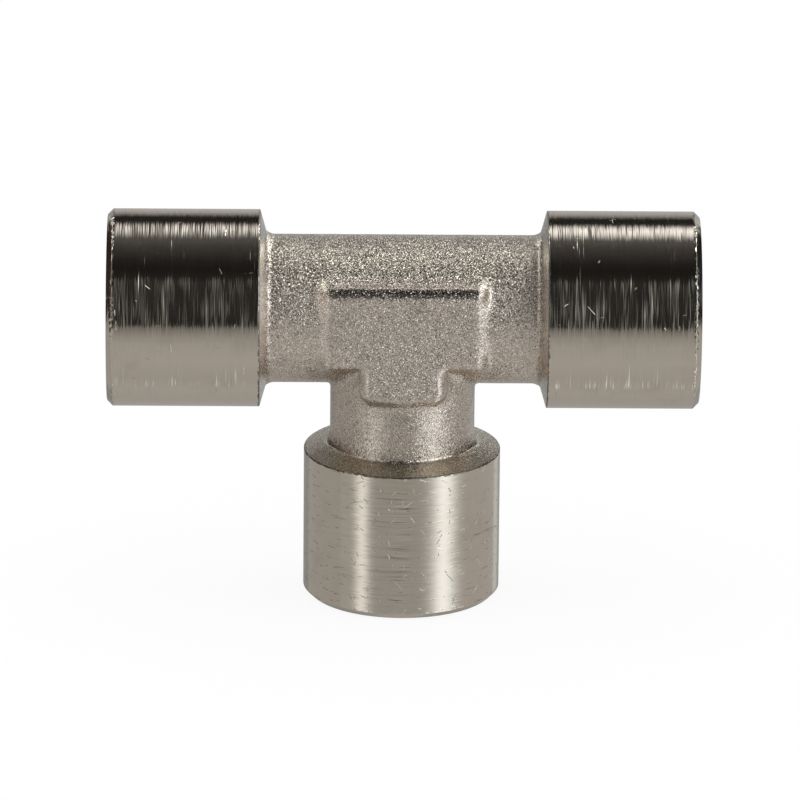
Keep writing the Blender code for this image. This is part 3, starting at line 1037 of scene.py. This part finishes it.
# Most are fades: their two ends, and the values there unless these are nought and one. They run over
# degrees up, towards the right or towards the front, where the left and what is behind are negative
room = {
    "tentEdge": (48, 60, 0.09, 0.36),  # how far aside the tent starts, low and overhead
    "tentBlend": 0.10,
    "tentTint": (50, 80),
    "tentTints": ((1.0, 1.03, 1.03), (1.0, 1.095, 1.08)),
    "tentSides": (-0.4, 0.4, 0.8, 1.2),  # each side's share of the light
    "tentSidesUp": (-20, 5),
    "behind": (-0.4, -0.7),
    "behindSides": (-0.45, 0.45, 0.8, 1.0),  # each side's share there
    "panelDepth": (-0.68, -0.78),
    "panelStart": (0.36, 0.46),
    "panelSides": (-0.3, 0.3, 0.0, 0.6),  # how much brighter it is far behind
    "endEdge": (-0.2, 0.45, 0.5, 1.0),  # where the dark ends start, behind and in front
    "endCloser": (-0.78, -0.86, 0.0, 0.1),  # how much further in they start far behind
    "endBlend": 0.12,
    "endHorizon": (-15, -4),
    "endFloor": (-0.5, 0.5, 0.43, 0.48),
    "endSides": (-0.5, 0.5),
    "endWalls": ((0.038, 0.026, 0.023), (0.02, 0.02, 0.02)),
    "overheadUp": ((105, 122), (137, 124)),
    "overheadSides": ((-0.07, 0.05), (0.6, 0.4)),
    "overheadLight": 1.4,
    "boxFall": -2.77,  # a softbox is half as bright half its width from its middle
    "boxEnds": (6, 4),  # half the fade at its lower and its upper edge
    "coolTint": (1.0, 1.09, 1.2),  # softboxes at the right
    "warmTint": (1.0, 1.03, 1.08),  # those at the left and overhead
}

# Lit panels at the sides: azimuth of the middle, width, brightness, lower and upper edge, in degrees
softboxes = {
    "left": (-48.0, 14.5, 0.68, -35.0, 45.0),
    "highLeft": (-50.0, 40.0, 0.25, 5.0, 50.0),
    "right": (51.0, 25.0, 0.92, -35.0, 45.0),
    "highRight": (60.0, 38.0, 1.6, 5.0, 48.0),
    "lowRight": (66.0, 40.0, 0.8, -80.0, -42.0),
}


def makeFloor():
    mesh = bpy.data.meshes.new("floor")
    half = studio["floorSize"] / 2
    corners = [(-half, -half, 0), (half, -half, 0), (half, half, 0), (-half, half, 0)]
    mesh.from_pydata(corners, [], [(0, 1, 2, 3)])
    floor = addObject("floor", mesh)

    material, tree = newMaterial("pale_floor")
    inputs = {"Base Color": studio["floorColour"], "Roughness": studio["floorRoughness"]}
    paint = addNode(tree, "ShaderNodeBsdfPrincipled", inputs)
    glow = addNode(tree, "ShaderNodeEmission", {"Color": (1, 1, 1), "Strength": 1.0})
    clear = addNode(tree, "ShaderNodeBsdfTransparent")
    path = addNode(tree, "ShaderNodeLightPath").outputs
    back = addNode(tree, "ShaderNodeNewGeometry").outputs["Backfacing"]
    whiten = times(tree, path["Is Camera Ray"], 1 - studio["floorShade"])
    front = addNode(tree, "ShaderNodeMixShader", {0: whiten, 1: paint.outputs[0], 2: glow.outputs[0]})
    # The camera sees the object from below too, and the metal sees the room's own pale floor
    through = calc(tree, "MAXIMUM", times(tree, path["Is Camera Ray"], back), path["Is Glossy Ray"])
    inputs = {0: through, 1: front.outputs[0], 2: clear.outputs[0]}
    surface = addNode(tree, "ShaderNodeMixShader", inputs)
    addNode(tree, "ShaderNodeOutputMaterial", {"Surface": surface.outputs[0]})
    mesh.materials.append(material)


def makeLamp():
    light = bpy.data.lights.new("soft_lamp", "AREA")
    light.shape = "SQUARE"
    light.size = studio["lampSize"]
    light.energy = studio["lampPower"]
    lamp = addObject("soft_lamp", light)
    lamp.location = (0, 0, studio["lampHeight"])
    lamp.visible_glossy = False


def bandCurve(tree, angle, bands):
    # Brightness of the room at an angle round the run's axis
    at = over(tree, plus(tree, angle, 180.0), 360.0)
    node = addNode(tree, "ShaderNodeValToRGB", {"Fac": at})
    stops = node.color_ramp.elements
    stops[0].position = 0.0
    stops[1].position = 1.0
    for degrees, _ in bands[1:-1]:
        stops.new((degrees + 180) / 360)
    for stop, (_, level) in zip(stops, bands):
        stop.color = (level, level, level, 1)
    return node.outputs["Color"]


def softbox(tree, azimuth, elevation, centre, width, peak, lowEdge, highEdge):
    # A lit panel at one side: a soft hump across, with soft ends
    off = over(tree, minus(tree, azimuth, centre), width)
    hump = calc(tree, "EXPONENT", times(tree, off, off, room["boxFall"]))
    lower, upper = room["boxEnds"]
    low = ramp(tree, elevation, lowEdge - lower, lowEdge + lower)
    high = ramp(tree, elevation, highEdge + upper, highEdge - upper)
    return times(tree, hump, times(tree, low, high), peak)


def makeWorld():
    world = bpy.data.worlds.new("room")
    bpy.context.scene.world = world
    tree = emptyTree(world)
    world.cycles.sampling_method = "NONE"
    x, y, z = parts(tree, addNode(tree, "ShaderNodeTexCoord").outputs["Generated"])
    front = times(tree, y, -1)

    def degrees(value):
        return times(tree, value, 180 / math.pi)

    def fade(value, name):
        return ramp(tree, value, *room[name])

    angle = degrees(calc(tree, "ARCTAN2", z, front))
    azimuth = degrees(calc(tree, "ARCTAN2", x, front))
    elevation = degrees(calc(tree, "ARCSINE", z))

    # The room is banded straight ahead, with a bright tent beside that, and its ends are open and dark
    beside = calc(tree, "ABSOLUTE", x)
    inTent = ramp(tree, minus(tree, beside, fade(angle, "tentEdge")), 0.0, room["tentBlend"])
    share = times(tree, minus(tree, fade(x, "tentSides"), 1), fade(elevation, "tentSidesUp"))
    behind = times(tree, fade(front, "behind"), minus(tree, fade(x, "behindSides"), 1))
    share = times(tree, plus(tree, 1, share), plus(tree, 1, behind))
    tent = scaled(tree, bandCurve(tree, angle, tentBands), share)
    tint = blend(tree, fade(angle, "tentTint"), *room["tentTints"])
    tent = vectorCalc(tree, "MULTIPLY", tent, tint)
    banded = blend(tree, inTent, bandCurve(tree, angle, roomBands), tent)
    endWall = blend(tree, fade(x, "endSides"), *room["endWalls"])
    end = blend(tree, fade(elevation, "endHorizon"), fade(x, "endFloor"), endWall)
    endEdge = minus(tree, fade(front, "endEdge"), fade(front, "endCloser"))
    atEnd = ramp(tree, minus(tree, beside, endEdge), 0.0, room["endBlend"])
    walls = blend(tree, atEnd, banded, end)
    panel = times(tree, fade(x, "panelSides"), fade(front, "panelDepth"), fade(beside, "panelStart"))
    walls = scaled(tree, walls, plus(tree, 1, panel))

    fades = [ramp(tree, angle, *ends) for ends in room["overheadUp"]]
    fades += [ramp(tree, x, *ends) for ends in room["overheadSides"]]
    overhead = times(tree, *fades, room["overheadLight"])
    boxes = {name: softbox(tree, azimuth, elevation, *values) for name, values in softboxes.items()}
    warm = plus(tree, overhead, boxes["left"], boxes["highLeft"])
    cool = plus(tree, boxes["right"], boxes["highRight"], boxes["lowRight"])
    boxLights = scaled(tree, room["warmTint"], warm), scaled(tree, room["coolTint"], cool)
    painted = vectorPlus(tree, walls, *boxLights)

    # Only what the metal mirrors is painted: the camera sees white, and other rays a plain light
    path = addNode(tree, "ShaderNodeLightPath").outputs
    plain = (studio["roomLight"],) * 3
    forOthers = blend(tree, path["Is Camera Ray"], plain, (1, 1, 1))
    seen = blend(tree, path["Is Glossy Ray"], forOthers, painted)
    background = addNode(tree, "ShaderNodeBackground", {"Color": seen, "Strength": 1.0})
    addNode(tree, "ShaderNodeOutputWorld", {"Surface": background.outputs[0]})


makeCamera()
makeFloor()
makeLamp()
makeWorld()
print("stage: camera, lamp, room and floor set")

portPlaces = makePortPlaces()
turningMarks = makeTurningMarks(portPlaces)
nicks = makeNicks(portPlaces)
finishes = [
    makeTurnedFinish(turnedFinish, portPlaces, turningMarks, nicks),
    makeBlastedFinish(blastedFinish, portPlaces, makeBlastGrain()),
    makeTappedFinish(tappedFinish, turningMarks),
]
makeTee(finishes)
print("stage: tee finished")

bpy.context.scene.view_settings.view_transform = "Standard"
